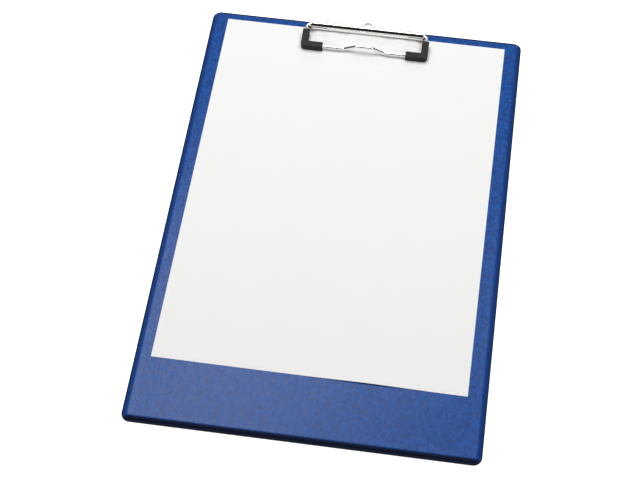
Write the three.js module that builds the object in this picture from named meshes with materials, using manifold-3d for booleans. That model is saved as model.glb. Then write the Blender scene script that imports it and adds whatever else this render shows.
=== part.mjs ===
// A4 clipboard: a greyboard core welded between two vinyl covers, with a riveted
// wire clip, a slide-out hanging tab and one sheet of paper under the clip.
// Millimetres. Origin on the underside, at the centre of the board. +X is to the
// right, +Y towards the clip and +Z up, out of the writing face.
import * as THREE from 'three';
import { mergeVertices } from 'three/addons/utils/BufferGeometryUtils.js';
import Module from 'manifold-3d';

const wasm = await Module();
wasm.setup();

// ---- board ----------------------------------------------------------------------
const BOARD_WIDTH = 234.5;
const BOARD_LENGTH = 353;
const BOARD_CORNER = 6;
const BOARD_HEIGHT = 3;
const COVER_THICKNESS = 0.4;
const WELD_WIDTH = 2; // flat welded rim outside the core
const SHOULDER_RADIUS = 2.2; // front cover rolls down to the weld
const LAYER_GAP = 0.02; // between faces that lie on each other

// ---- clip plate -----------------------------------------------------------------
const CLIP_X = 0.9; // the whole clip sits a little off the board's centreline
const PLATE_THICKNESS = 0.6;
const PLATE_WIDTH = 76;
const PLATE_CORNER = 2.5;
const PLATE_REACH = 11.9; // from the pivot axis forward to the plate's front edge
const BARREL_LENGTH = 87;
const BARREL_RADIUS = 3.375;
const BARREL_SETBACK = 8.3; // from the board's far edge to the pivot axis
const BARREL_END_ANGLE = 320; // the roll starts at its rear wall, 0 degrees
const PAPER_SLOT = 0.4; // height of the slot under the barrel
const WALL_BEND = 1.2; // outer radius where the plate turns up

// ---- hanging tab and its guide --------------------------------------------------
const TAB_WIDTH = 13;
const TAB_THICKNESS = 0.5;
const TAB_TRAVEL = 11;
const TAB_SIDE_GAP = 0.35;
const TAB_SHOULDER_PROUD = 0.3; // shoulders, past the board's far edge
const TAB_NOSE_PROUD = 2.5; // nose, past the shoulders
const TAB_NOSE_RADIUS = 3.35;
const TAB_HOLE_RADIUS = 3;
const TAB_HOLE_MARGIN = 1.8;
const TAB_STOP_WIDTH = 15.8;
const TAB_STOP_LENGTH = 2.4;
const GUIDE_WALL = 0.7;
const GUIDE_CLEARANCE = 0.2;
const NECK_AHEAD = 4.7; // from the axis forward to where the guide narrows

// ---- rivets ---------------------------------------------------------------------
const RIVET_SPACING = 52;
const RIVET_AHEAD = 8.2; // from the axis forward to the rivets
const RIVET_SHANK = 2;
const RIVET_FRONT_HEAD = 3;
const RIVET_BACK_HEAD = 4;
const RIVET_HEAD_HEIGHT = 0.6;
const RIVET_HOLE_GAP = 0.25;
const RIVET_RECESS = 0.8; // depth from the underside to the back head's seat
const RIVET_EDGE = 0.2; // how far the heads' edges are broken

// ---- wire bail and sleeves ------------------------------------------------------
const WIRE_RADIUS = 1.25;
const WIRE_BEND = 2.75; // centreline radius of the elbows and front corners
const BAIL_WIDTH = 90; // between the centrelines of the arms
const BAIL_DEPTH = 19; // from the pivot axis to the front bar
const STUB_END = 16; // half the distance between the stub ends
const HUMP_RISE = 4.3;
const HUMP_FOOT = 15; // half the distance between the hump's feet
const HUMP_TOP = 5.8; // half the width of the hump's flat top
const HUMP_BEND = 2.6;
const SLEEVE_SIZE = 5.1;
const SLEEVE_HEIGHT = 5;
const SLEEVE_CORNER = 3;
const SLEEVE_FRONT_LENGTH = 16.4;
const SLEEVE_SIDE_END = 5.7; // from the pivot axis to the sleeve's rear end
const SLEEVE_BORE_GAP = 0.15;
const SLEEVE_PAPER_GAP = 0.05;

// ---- springs and bushes ---------------------------------------------------------
const SPRING_WIRE = 0.45;
const SPRING_RADIUS = 1.9;
const SPRING_TURNS = 10;
const SPRING_PITCH = 1.3;
const SPRING_TAIL = 1;
const BUSH_LENGTH = 3.3;
const BUSH_RADIUS = 2.55;
const BUSH_BORE = 1.4;
const BUSH_INSET = 1.7; // from the barrel's end

// ---- paper ----------------------------------------------------------------------
const PAPER_WIDTH = 210;
const PAPER_LENGTH = 297;
const PAPER_THICKNESS = 0.12;
const PAPER_X = -0.55;
const PAPER_TOP_Y = 168.3;
const PAPER_LIFT = 0.04;
const PAPER_SLOPE = 0.4; // steepest rise where the sheet climbs over metal
const PAPER_CELL_X = 2.6; // grid over the raised part
const PAPER_CELL_Y = 1.25;

// ---- worked out -----------------------------------------------------------------
const CORE_BOTTOM = COVER_THICKNESS + LAYER_GAP;
const RIM_TOP = 2 * COVER_THICKNESS;
const PLATE_TOP = BOARD_HEIGHT + PLATE_THICKNESS;
const AXIS_Y = BOARD_LENGTH / 2 - BARREL_SETBACK;
const AXIS_Z = PLATE_TOP + PAPER_SLOT + BARREL_RADIUS;
const PLATE_FRONT = AXIS_Y - PLATE_REACH;
const FOOT_REAR = AXIS_Y - WIRE_RADIUS; // where the plate's foot runs into the barrel's floor
const RIVET_Y = AXIS_Y - RIVET_AHEAD;
const NECK_Y = AXIS_Y - NECK_AHEAD;
const STOP_FRONT = NECK_Y - TAB_TRAVEL - TAB_STOP_LENGTH;
const GUIDE_FRONT = STOP_FRONT - GUIDE_CLEARANCE - GUIDE_WALL;
const GUIDE_REAR = NECK_Y + GUIDE_WALL;
const GUIDE_HALF = TAB_STOP_WIDTH / 2 + TAB_SIDE_GAP + GUIDE_WALL;
const GUIDE_TOP = PLATE_TOP + PLATE_THICKNESS;
const SLEEVE_BOTTOM = BOARD_HEIGHT + PAPER_THICKNESS + SLEEVE_PAPER_GAP;
const BAR_Y = AXIS_Y - BAIL_DEPTH;
const BAR_Z = SLEEVE_BOTTOM + SLEEVE_HEIGHT / 2;
const ARM_SLOPE = (AXIS_Z - BAR_Z) / BAIL_DEPTH;
const ROUND_STEPS = 24;
const WIRE_SIDES = 12;
const SPRING_SIDES = 6;
const SPRING_TURN_STEPS = 12;
const BEND_STEPS = 6;
const CUT_OVERRUN = 1; // how far a cutter runs past the faces it opens
const MERGE_TOLERANCE = 1e-5;

// ---- geometry helpers -----------------------------------------------------------

function toSolid(geometry) {
  const bare = geometry.clone();
  bare.deleteAttribute('normal');
  bare.deleteAttribute('uv');
  const merged = mergeVertices(bare, MERGE_TOLERANCE);
  const mesh = new wasm.Mesh({
    numProp: 3,
    vertProperties: new Float32Array(merged.attributes.position.array),
    triVerts: new Uint32Array(merged.index.array),
  });
  return new wasm.Manifold(mesh);
}

function toGeometry(solid) {
  const mesh = solid.getMesh();
  const geometry = new THREE.BufferGeometry();
  geometry.setAttribute('position', new THREE.Float32BufferAttribute(mesh.vertProperties, 3));
  geometry.setIndex(Array.from(mesh.triVerts));
  return geometry;
}

function join(...geometries) {
  return toGeometry(geometries.map(toSolid).reduce((whole, next) => whole.add(next)));
}

function cut(base, ...tools) {
  return toGeometry(tools.map(toSolid).reduce((rest, tool) => rest.subtract(tool), toSolid(base)));
}

function block([x0, x1], [y0, y1], [z0, z1]) {
  const box = new THREE.BoxGeometry(x1 - x0, y1 - y0, z1 - z0);
  return box.translate((x0 + x1) / 2, (y0 + y1) / 2, (z0 + z1) / 2);
}

// Upright cylinder between two heights.
function drum(radius, x, y, [z0, z1]) {
  const cylinder = new THREE.CylinderGeometry(radius, radius, z1 - z0, ROUND_STEPS);
  return cylinder.rotateX(Math.PI / 2).translate(x, y, (z0 + z1) / 2);
}

// Plan outline pulled up between two heights.
function slab(shape, [z0, z1], curveSegments = BEND_STEPS) {
  const options = { depth: z1 - z0, bevelEnabled: false, curveSegments };
  return new THREE.ExtrudeGeometry(shape, options).translate(0, 0, z0);
}

// A side view in (y, z), pulled along X between -half and +half.
function beam(shape, half) {
  const options = { depth: 2 * half, bevelEnabled: false, curveSegments: BEND_STEPS };
  const geometry = new THREE.ExtrudeGeometry(shape, options).translate(0, 0, -half);
  const turn = new THREE.Matrix4().makeBasis(
    new THREE.Vector3(0, 1, 0), new THREE.Vector3(0, 0, 1), new THREE.Vector3(1, 0, 0));
  return geometry.applyMatrix4(turn);
}

// Solid of revolution about an upright line, from [radius, height] points.
function turned(profile, x, y) {
  const points = profile.map(([radius, height]) => new THREE.Vector2(radius, height));
  return new THREE.LatheGeometry(points, ROUND_STEPS).rotateX(Math.PI / 2).translate(x, y, 0);
}

// Board outline, moved inwards by inset, as points at height z.
function boardRing(inset, z) {
  const radius = BOARD_CORNER - inset;
  const reachX = BOARD_WIDTH / 2 - BOARD_CORNER;
  const reachY = BOARD_LENGTH / 2 - BOARD_CORNER;
  const corners = [[1, 1], [-1, 1], [-1, -1], [1, -1]];
  return corners.flatMap(([sx, sy], corner) =>
    Array.from({ length: BEND_STEPS + 1 }, (_, step) => {
      const angle = (corner + step / BEND_STEPS) * Math.PI / 2;
      return [sx * reachX + radius * Math.cos(angle), sy * reachY + radius * Math.sin(angle), z];
    }));
}

// Skin through a stack of rings, closed by a flat cap at each end. The first cap
// faces down and the last one up.
function loft(rings) {
  const size = rings[0].length;
  const positions = rings.flat(2);
  const faces = [];
  rings.slice(1).forEach((_, ring) => {
    for (let i = 0; i < size; i += 1) {
      const a = ring * size + i;
      const b = ring * size + (i + 1) % size;
      faces.push(a, b, b + size, a, b + size, a + size);
    }
  });
  const capFaces = (ring, flip) => {
    const hub = positions.length / 3;
    positions.push(0, 0, rings[ring][0][2]);
    for (let i = 0; i < size; i += 1) {
      const a = ring * size + i;
      const b = ring * size + (i + 1) % size;
      faces.push(hub, ...(flip ? [b, a] : [a, b]));
    }
  };
  capFaces(0, true);
  capFaces(rings.length - 1, false);
  const geometry = new THREE.BufferGeometry();
  geometry.setAttribute('position', new THREE.Float32BufferAttribute(positions, 3));
  geometry.setIndex(faces);
  return geometry;
}

// Quarter-round shoulder: rings of the given radius about the shoulder's centre.
function shoulderRings(radius) {
  return Array.from({ length: BEND_STEPS + 1 }, (_, step) => {
    const angle = step / BEND_STEPS * Math.PI / 2;
    const inset = WELD_WIDTH + SHOULDER_RADIUS - radius * Math.cos(angle);
    return boardRing(inset, RIM_TOP + radius * Math.sin(angle));
  });
}

// A centreline given by its stations, one for each ring of the wire.
class StationCurve extends THREE.Curve {
  constructor(stations) {
    super();
    this.stations = stations;
  }

  getPointAt(u) {
    return this.stations[Math.round(u * (this.stations.length - 1))].clone();
  }

  getTangentAt(u) {
    const last = this.stations.length - 1;
    const i = Math.round(u * last);
    const ahead = this.stations[Math.min(i + 1, last)];
    const behind = this.stations[Math.max(i - 1, 0)];
    return new THREE.Vector3().subVectors(ahead, behind).normalize();
  }
}

// Stations of the round bend at a corner between two straight runs.
function roundBend(before, corner, after, radius) {
  const inward = new THREE.Vector3().subVectors(before, corner).normalize();
  const outward = new THREE.Vector3().subVectors(after, corner).normalize();
  const half = inward.angleTo(outward) / 2;
  const toCentre = new THREE.Vector3().addVectors(inward, outward).normalize();
  const centre = corner.clone().addScaledVector(toCentre, radius / Math.sin(half));
  const start = corner.clone().addScaledVector(inward, radius / Math.tan(half)).sub(centre);
  const axis = new THREE.Vector3().crossVectors(outward, inward).normalize();
  const sweep = Math.PI - 2 * half;
  const steps = Math.max(2, Math.ceil(BEND_STEPS * sweep / (Math.PI / 2)));
  return Array.from({ length: steps + 1 }, (_, step) =>
    start.clone().applyAxisAngle(axis, sweep * step / steps).add(centre));
}

// A wire's centreline: straight runs with a round bend at each inner point.
function bentRoute(points, bends) {
  const middle = bends.flatMap((radius, i) => roundBend(points[i], points[i + 1], points[i + 2], radius));
  return new StationCurve([points[0], ...middle, points[points.length - 1]]);
}

function wireAlong(route, radius, sides = WIRE_SIDES) {
  const corners = Array.from({ length: sides }, (_, i) => {
    const angle = 2 * Math.PI * i / sides;
    return new THREE.Vector2(radius * Math.cos(angle), radius * Math.sin(angle));
  });
  const options = { steps: route.stations.length - 1, extrudePath: route, bevelEnabled: false };
  return new THREE.ExtrudeGeometry(new THREE.Shape(corners), options);
}

// ---- board ----------------------------------------------------------------------

const rivetXs = [-RIVET_SPACING / 2, RIVET_SPACING / 2];

// Cutters for the two rivet holes. The board's own holes are moved across by CLIP_X.
function rivetHoles(radius, heights, shift = 0) {
  return rivetXs.map((x) => drum(radius, x + shift, RIVET_Y, heights));
}

function frontCover() {
  const inner = shoulderRings(SHOULDER_RADIUS - COVER_THICKNESS);
  const outer = shoulderRings(SHOULDER_RADIUS);
  const rings = [
    ...inner.reverse(),
    boardRing(WELD_WIDTH + COVER_THICKNESS, COVER_THICKNESS),
    boardRing(0, COVER_THICKNESS),
    boardRing(0, RIM_TOP),
    ...outer,
  ];
  const holes = rivetHoles(RIVET_SHANK + RIVET_HOLE_GAP, [RIM_TOP, PLATE_TOP], CLIP_X);
  return cut(loft(rings), ...holes);
}

function coreBoard() {
  const sides = shoulderRings(SHOULDER_RADIUS - COVER_THICKNESS - LAYER_GAP);
  const foot = boardRing(WELD_WIDTH + COVER_THICKNESS + LAYER_GAP, CORE_BOTTOM);
  return cut(
    loft([foot, ...sides]),
    ...rivetHoles(RIVET_SHANK + RIVET_HOLE_GAP, [0, BOARD_HEIGHT], CLIP_X),
    ...rivetHoles(RIVET_BACK_HEAD + RIVET_HOLE_GAP, [0, RIVET_RECESS], CLIP_X),
  );
}

function backCover() {
  const sheet = loft([boardRing(0, 0), boardRing(0, COVER_THICKNESS - LAYER_GAP)]);
  return cut(sheet, ...rivetHoles(RIVET_BACK_HEAD + RIVET_HOLE_GAP, [-CUT_OVERRUN, BOARD_HEIGHT], CLIP_X));
}

// ---- clip plate -----------------------------------------------------------------

// Side view of the rear of the plate: floor, upright wall and rolled barrel.
function barrelSection() {
  const wall = AXIS_Y + BARREL_RADIUS;
  const inner = BARREL_RADIUS - PLATE_THICKNESS;
  const end = THREE.MathUtils.degToRad(BARREL_END_ANGLE);
  const arc = (shape, y, z, radius, from, to, steps) => {
    for (let i = 0; i <= steps; i += 1) {
      const angle = from + (to - from) * i / steps;
      shape.lineTo(y + radius * Math.cos(angle), z + radius * Math.sin(angle));
    }
  };
  const shape = new THREE.Shape();
  shape.moveTo(FOOT_REAR, BOARD_HEIGHT);
  arc(shape, wall - WALL_BEND, BOARD_HEIGHT + WALL_BEND, WALL_BEND, -Math.PI / 2, 0, BEND_STEPS);
  arc(shape, AXIS_Y, AXIS_Z, BARREL_RADIUS, 0, end, ROUND_STEPS);
  arc(shape, AXIS_Y, AXIS_Z, inner, end, 0, ROUND_STEPS);
  arc(shape, wall - WALL_BEND, BOARD_HEIGHT + WALL_BEND, WALL_BEND - PLATE_THICKNESS,
    0, -Math.PI / 2, BEND_STEPS);
  shape.lineTo(FOOT_REAR, PLATE_TOP);
  return shape;
}

// Flat foot of the plate, with rounded front corners.
function footOutline() {
  const half = PLATE_WIDTH / 2;
  const shape = new THREE.Shape();
  shape.moveTo(half, FOOT_REAR);
  shape.lineTo(-half, FOOT_REAR);
  shape.lineTo(-half, PLATE_FRONT + PLATE_CORNER);
  shape.absarc(-half + PLATE_CORNER, PLATE_FRONT + PLATE_CORNER, PLATE_CORNER, Math.PI, 1.5 * Math.PI);
  shape.lineTo(half - PLATE_CORNER, PLATE_FRONT);
  shape.absarc(half - PLATE_CORNER, PLATE_FRONT + PLATE_CORNER, PLATE_CORNER, 1.5 * Math.PI, 2 * Math.PI);
  shape.closePath();
  return shape;
}

function clipPlate() {
  const plate = join(
    slab(footOutline(), [BOARD_HEIGHT, PLATE_TOP]),
    beam(barrelSection(), BARREL_LENGTH / 2),
    block([-GUIDE_HALF, GUIDE_HALF], [GUIDE_FRONT, GUIDE_REAR], [BOARD_HEIGHT, GUIDE_TOP]),
  );
  const chamberHalf = GUIDE_HALF - GUIDE_WALL;
  const neckHalf = TAB_WIDTH / 2 + TAB_SIDE_GAP;
  const below = BOARD_HEIGHT - CUT_OVERRUN;
  return cut(
    plate,
    block([-chamberHalf, chamberHalf], [GUIDE_FRONT + GUIDE_WALL, NECK_Y], [below, PLATE_TOP]),
    block([-neckHalf, neckHalf], [NECK_Y - CUT_OVERRUN, BOARD_LENGTH / 2], [below, PLATE_TOP]),
    ...rivetHoles(RIVET_SHANK + RIVET_HOLE_GAP, [below, GUIDE_TOP]),
  );
}

// ---- hanging tab ----------------------------------------------------------------

function hangingTab() {
  const half = TAB_WIDTH / 2;
  const stopHalf = TAB_STOP_WIDTH / 2;
  const shoulder = BOARD_LENGTH / 2 + TAB_SHOULDER_PROUD;
  const noseY = shoulder + TAB_NOSE_PROUD - TAB_NOSE_RADIUS;
  const noseAngle = Math.asin((shoulder - noseY) / TAB_NOSE_RADIUS);
  const shape = new THREE.Shape();
  shape.moveTo(-stopHalf, STOP_FRONT);
  shape.lineTo(stopHalf, STOP_FRONT);
  shape.lineTo(stopHalf, STOP_FRONT + TAB_STOP_LENGTH);
  shape.lineTo(half, STOP_FRONT + TAB_STOP_LENGTH);
  shape.lineTo(half, shoulder);
  shape.absarc(0, noseY, TAB_NOSE_RADIUS, noseAngle, Math.PI - noseAngle);
  shape.lineTo(-half, shoulder);
  shape.lineTo(-half, STOP_FRONT + TAB_STOP_LENGTH);
  shape.lineTo(-stopHalf, STOP_FRONT + TAB_STOP_LENGTH);
  shape.closePath();
  const hole = new THREE.Path();
  hole.absarc(0, shoulder - TAB_HOLE_MARGIN - TAB_HOLE_RADIUS, TAB_HOLE_RADIUS, 0, 2 * Math.PI, true);
  shape.holes.push(hole);
  const bottom = BOARD_HEIGHT + LAYER_GAP;
  return slab(shape, [bottom, bottom + TAB_THICKNESS], ROUND_STEPS);
}

// ---- rivets ---------------------------------------------------------------------

// Flat-backed rivet: wide head under the board, low formed head on the plate.
function rivet(x) {
  const seat = RIVET_RECESS - LAYER_GAP;
  const top = PLATE_TOP + LAYER_GAP;
  return turned([
    [0, seat - RIVET_HEAD_HEIGHT - RIVET_EDGE / 2],
    [RIVET_BACK_HEAD - RIVET_EDGE, seat - RIVET_HEAD_HEIGHT],
    [RIVET_BACK_HEAD, seat - RIVET_HEAD_HEIGHT + RIVET_EDGE],
    [RIVET_BACK_HEAD, seat],
    [RIVET_SHANK, seat],
    [RIVET_SHANK, top],
    [RIVET_FRONT_HEAD, top],
    [RIVET_FRONT_HEAD, top + RIVET_EDGE],
    [RIVET_FRONT_HEAD - 2 * RIVET_EDGE, top + RIVET_HEAD_HEIGHT - RIVET_EDGE / 2],
    [0, top + RIVET_HEAD_HEIGHT],
  ], x, RIVET_Y);
}

// ---- wire bail ------------------------------------------------------------------

// Centreline of one half of the bail, from the stub's inner end to the arm's front.
function armPoints(side) {
  const arm = side * BAIL_WIDTH / 2;
  return [
    new THREE.Vector3(side * STUB_END, AXIS_Y, AXIS_Z),
    new THREE.Vector3(arm, AXIS_Y, AXIS_Z),
    new THREE.Vector3(arm, BAR_Y, BAR_Z),
  ];
}

// The hump's feet and flat top, seen along the front bar.
function humpPoints(side) {
  return [
    new THREE.Vector3(side * HUMP_FOOT, BAR_Y, BAR_Z),
    new THREE.Vector3(side * HUMP_TOP, BAR_Y, BAR_Z + HUMP_RISE),
  ];
}

function wireBail() {
  const points = [
    ...armPoints(-1), ...humpPoints(-1), ...humpPoints(1).reverse(), ...armPoints(1).reverse(),
  ];
  const bends = [WIRE_BEND, WIRE_BEND, HUMP_BEND, HUMP_BEND, HUMP_BEND, HUMP_BEND, WIRE_BEND, WIRE_BEND];
  return wireAlong(bentRoute(points, bends), WIRE_RADIUS);
}

// ---- sleeves --------------------------------------------------------------------

// L-shaped outline round one front corner of the bail, seen from above.
function sleeveOutline(side) {
  const outer = BAIL_WIDTH / 2 + SLEEVE_SIZE / 2;
  const inner = outer - SLEEVE_SIZE;
  const front = BAR_Y - SLEEVE_SIZE / 2;
  const back = front + SLEEVE_SIZE;
  const rear = AXIS_Y - SLEEVE_SIDE_END;
  const end = outer - SLEEVE_FRONT_LENGTH;
  const corner = Array.from({ length: BEND_STEPS + 1 }, (_, step) => {
    const angle = -step / BEND_STEPS * Math.PI / 2;
    return [
      outer - SLEEVE_CORNER + SLEEVE_CORNER * Math.cos(angle),
      front + SLEEVE_CORNER + SLEEVE_CORNER * Math.sin(angle),
    ];
  });
  const outline = [[inner, rear], [outer, rear], ...corner, [end, front], [end, back], [inner, back]];
  return new THREE.Shape(outline.map(([x, y]) => new THREE.Vector2(side * x, y)));
}

// The sleeve follows the arm: its side leg leans back with the wire's slope.
function sleeve(side) {
  const body = slab(sleeveOutline(side), [SLEEVE_BOTTOM, SLEEVE_BOTTOM + SLEEVE_HEIGHT]);
  const position = body.attributes.position;
  const hinge = BAR_Y + SLEEVE_SIZE / 2;
  for (let i = 0; i < position.count; i += 1) {
    const lean = Math.max(0, position.getY(i) - hinge) * ARM_SLOPE * BAIL_DEPTH
      / (BAIL_DEPTH - SLEEVE_SIZE / 2);
    position.setZ(i, position.getZ(i) + lean);
  }
  const [stub, corner, front] = armPoints(side);
  const [foot] = humpPoints(side);
  const bore = bentRoute([stub, corner, front, foot], [WIRE_BEND, WIRE_BEND]);
  return cut(body, wireAlong(bore, WIRE_RADIUS + SLEEVE_BORE_GAP));
}

// ---- springs and bushes ---------------------------------------------------------

// Torsion spring round one stub: an open coil with a straight tail at each end.
function torsionSpring(side) {
  const count = SPRING_TURNS * SPRING_TURN_STEPS;
  const start = STUB_END + SPRING_PITCH;
  const coil = Array.from({ length: count + 1 }, (_, i) => {
    const turns = i / SPRING_TURN_STEPS;
    return new THREE.Vector3(
      side * (start + SPRING_PITCH * turns),
      AXIS_Y + SPRING_RADIUS * Math.cos(2 * Math.PI * turns),
      AXIS_Z + SPRING_RADIUS * Math.sin(2 * Math.PI * turns),
    );
  });
  const tail = new THREE.Vector3(0, 0, SPRING_TAIL);
  const stations = [coil[0].clone().sub(tail), ...coil, coil[count].clone().add(tail)];
  return wireAlong(new StationCurve(stations), SPRING_WIRE, SPRING_SIDES);
}

function bush(side) {
  const start = BARREL_LENGTH / 2 - BUSH_INSET - BUSH_LENGTH;
  const end = start + BUSH_LENGTH;
  const ring = turned([
    [BUSH_BORE, start], [BUSH_RADIUS, start], [BUSH_RADIUS, end], [BUSH_BORE, end], [BUSH_BORE, start],
  ], 0, 0);
  return ring.rotateY(side * Math.PI / 2).translate(0, AXIS_Y, AXIS_Z);
}

// ---- paper ----------------------------------------------------------------------

// Raised metal that the sheet climbs over: centre, half width, front, rear and height.
function raisedAreas() {
  const plateRise = PLATE_THICKNESS + PAPER_LIFT;
  const guideRise = plateRise + PLATE_THICKNESS;
  const areas = [
    { x: CLIP_X, half: BARREL_LENGTH / 2, front: FOOT_REAR, rear: PAPER_TOP_Y, rise: plateRise },
    { x: CLIP_X, half: PLATE_WIDTH / 2, front: PLATE_FRONT, rear: PAPER_TOP_Y, rise: plateRise },
    { x: CLIP_X, half: GUIDE_HALF, front: GUIDE_FRONT, rear: GUIDE_REAR, rise: guideRise },
  ];
  rivetXs.forEach((x) => areas.push({
    x: x + CLIP_X,
    half: RIVET_FRONT_HEAD,
    front: RIVET_Y - RIVET_FRONT_HEAD,
    rear: RIVET_Y + RIVET_FRONT_HEAD,
    rise: PLATE_THICKNESS + RIVET_HEAD_HEIGHT + LAYER_GAP + PAPER_LIFT,
  }));
  return areas;
}

// Height of the sheet's underside over the board. Each area is taken one grid cell
// larger, so that the flat facets between grid lines clear it too.
function sheetLift(x, y, areas) {
  const lifts = areas.map((area) => {
    const aside = Math.abs(x - area.x) - area.half - PAPER_CELL_X;
    const along = Math.max(area.front - y, y - area.rear) - PAPER_CELL_Y;
    return area.rise - PAPER_SLOPE * Math.max(aside, along, 0);
  });
  return Math.max(0, ...lifts);
}

// Grid lines: the sheet's two edges, and a close, even spacing across the raised part.
function gridLines(low, high, from, to, cell) {
  const count = Math.ceil((to - from) / cell);
  const lines = Array.from({ length: count + 1 }, (_, i) => from + (to - from) * i / count);
  return [...new Set([low, ...lines, high])];
}

function paperSheet() {
  const areas = raisedAreas();
  const left = PAPER_X - PAPER_WIDTH / 2;
  const reach = BARREL_LENGTH / 2 + PLATE_THICKNESS / PAPER_SLOPE + 2 * PAPER_CELL_X;
  const low = GUIDE_FRONT - 2 * PLATE_THICKNESS / PAPER_SLOPE - 2 * PAPER_CELL_Y;
  const xs = gridLines(left, left + PAPER_WIDTH, CLIP_X - reach, CLIP_X + reach, PAPER_CELL_X);
  const ys = gridLines(PAPER_TOP_Y - PAPER_LENGTH, PAPER_TOP_Y, low, PAPER_TOP_Y, PAPER_CELL_Y);
  const bottom = ys.flatMap((y) => xs.map((x) => [x, y, BOARD_HEIGHT + sheetLift(x, y, areas)]));
  const top = bottom.map(([x, y, z]) => [x, y, z + PAPER_THICKNESS]);
  const columns = xs.length;
  const layer = bottom.length;
  const faces = [];
  const quad = (a, b, c, d) => faces.push(a, b, c, a, c, d);
  for (let j = 0; j < ys.length - 1; j += 1) {
    for (let i = 0; i < columns - 1; i += 1) {
      const corner = j * columns + i;
      quad(layer + corner, layer + corner + 1, layer + corner + columns + 1, layer + corner + columns);
      quad(corner, corner + columns, corner + columns + 1, corner + 1);
    }
  }
  const rim = [
    ...xs.map((_, i) => i),
    ...ys.slice(1).map((_, j) => (j + 1) * columns + columns - 1),
    ...xs.slice(1).map((_, i) => (ys.length - 1) * columns + columns - 2 - i),
    ...ys.slice(2).map((_, j) => (ys.length - 2 - j) * columns),
  ];
  rim.forEach((a, k) => {
    const b = rim[(k + 1) % rim.length];
    quad(a, b, layer + b, layer + a);
  });
  const geometry = new THREE.BufferGeometry();
  geometry.setAttribute('position', new THREE.Float32BufferAttribute([...bottom, ...top].flat(), 3));
  geometry.setIndex(faces);
  return geometry;
}

// ---- assembly -------------------------------------------------------------------

const vinyl = { color: 0x0a4fa6, roughness: 0.42, metalness: 0 };
const greyboard = { color: 0x8c857a, roughness: 0.9, metalness: 0 };
const chrome = { color: 0xd9dadd, roughness: 0.08, metalness: 1 };
const steel = { color: 0xa9abae, roughness: 0.3, metalness: 1 };
const rubber = { color: 0x1c1e1c, roughness: 0.5, metalness: 0 };
const nylon = { color: 0x151515, roughness: 0.5, metalness: 0 };
const paper = { color: 0xfbfbf9, roughness: 0.85, metalness: 0 };

const boardPieces = [
  ['core_board', coreBoard(), greyboard],
  ['back_cover', backCover(), vinyl],
  ['front_cover', frontCover(), vinyl],
  ['paper_sheet', paperSheet(), paper],
];
const sideNames = [[-1, 'left'], [1, 'right']];
const clipPieces = [
  ['clip_plate', clipPlate(), chrome],
  ['wire_bail', wireBail(), chrome],
  ['hanging_tab', hangingTab(), steel],
  ...sideNames.flatMap(([side, name]) => [
    [`rivet_${name}`, rivet(side * RIVET_SPACING / 2), steel],
    [`sleeve_${name}`, sleeve(side), rubber],
    [`torsion_spring_${name}`, torsionSpring(side), steel],
    [`barrel_bush_${name}`, bush(side), nylon],
  ]),
];

function assemble(name, pieces) {
  const group = new THREE.Group();
  group.name = name;
  pieces.forEach(([pieceName, geometry, look]) => {
    const mesh = new THREE.Mesh(geometry, new THREE.MeshStandardMaterial(look));
    mesh.name = pieceName;
    group.add(mesh);
  });
  return group;
}

const clip = assemble('clip', clipPieces);
clip.position.x = CLIP_X;
const clipboard = assemble('clipboard', boardPieces);
clipboard.add(clip);

export default clipboard;
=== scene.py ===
"""Looks of the A4 clipboard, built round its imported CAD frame.

Meshes are made in millimetres, in the frame's axes, and scaled to metres at the end.
+X is to the right, +Y towards the clip and +Z up, out of the writing face.
"""

import math

import bmesh
import bpy
from mathutils import Matrix, Vector, noise

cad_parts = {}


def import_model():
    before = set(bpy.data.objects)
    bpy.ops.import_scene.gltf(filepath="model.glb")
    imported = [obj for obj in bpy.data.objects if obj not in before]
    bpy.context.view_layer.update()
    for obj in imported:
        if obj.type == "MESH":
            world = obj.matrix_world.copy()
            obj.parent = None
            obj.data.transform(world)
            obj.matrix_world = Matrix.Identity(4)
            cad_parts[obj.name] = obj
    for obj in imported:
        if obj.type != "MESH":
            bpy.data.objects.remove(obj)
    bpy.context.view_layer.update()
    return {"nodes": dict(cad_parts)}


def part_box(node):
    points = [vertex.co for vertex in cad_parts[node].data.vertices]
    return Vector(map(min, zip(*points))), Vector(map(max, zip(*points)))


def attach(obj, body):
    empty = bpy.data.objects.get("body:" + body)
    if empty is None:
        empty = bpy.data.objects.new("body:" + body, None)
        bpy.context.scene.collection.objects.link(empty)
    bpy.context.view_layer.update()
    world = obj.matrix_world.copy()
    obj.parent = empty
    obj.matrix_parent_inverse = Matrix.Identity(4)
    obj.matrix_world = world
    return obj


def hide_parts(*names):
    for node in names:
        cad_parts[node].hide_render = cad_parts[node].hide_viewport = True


MM = 0.001

# ---- board ------------------------------------------------------------------------
BOARD_CORNER = 6
LEAST_CORNER = 0.3  # of an outline that is moved in by more than the corner's radius
COVER_THICKNESS = 0.4
WELD_WIDTH = 2
SHOULDER_RADIUS = 2.2
LIP_ROUND = 0.15  # broken outer edge of the rim
WELD_GROOVE = (0.75, 1.45)  # from the board's edge to the groove's two sides
WELD_GROOVE_DEPTH = 0.22
GROOVE_FLARE = 0.12  # the groove is this much wider at its top, and
GROOVE_FOOT = 0.06  # this much narrower at its floor, on each side
CORNER_STEPS = 16
SIDE_CELLS = 40  # along a straight side of the board
FACE_RINGS = (1.5, 5, 12, 24, 44, 70, 95.8)  # from the shoulder's top inwards
FACE_MIDDLE = 1.5  # half width of the strip that closes the writing face
BACK_MIDDLE = 30  # from the board's edge to the single face in the back cover's middle
SURFACE_SAG = 0.12  # deepest hollow of the writing face
SAG_SPAN = 38
SAG_SLICE = 0.5  # of the noise

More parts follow.
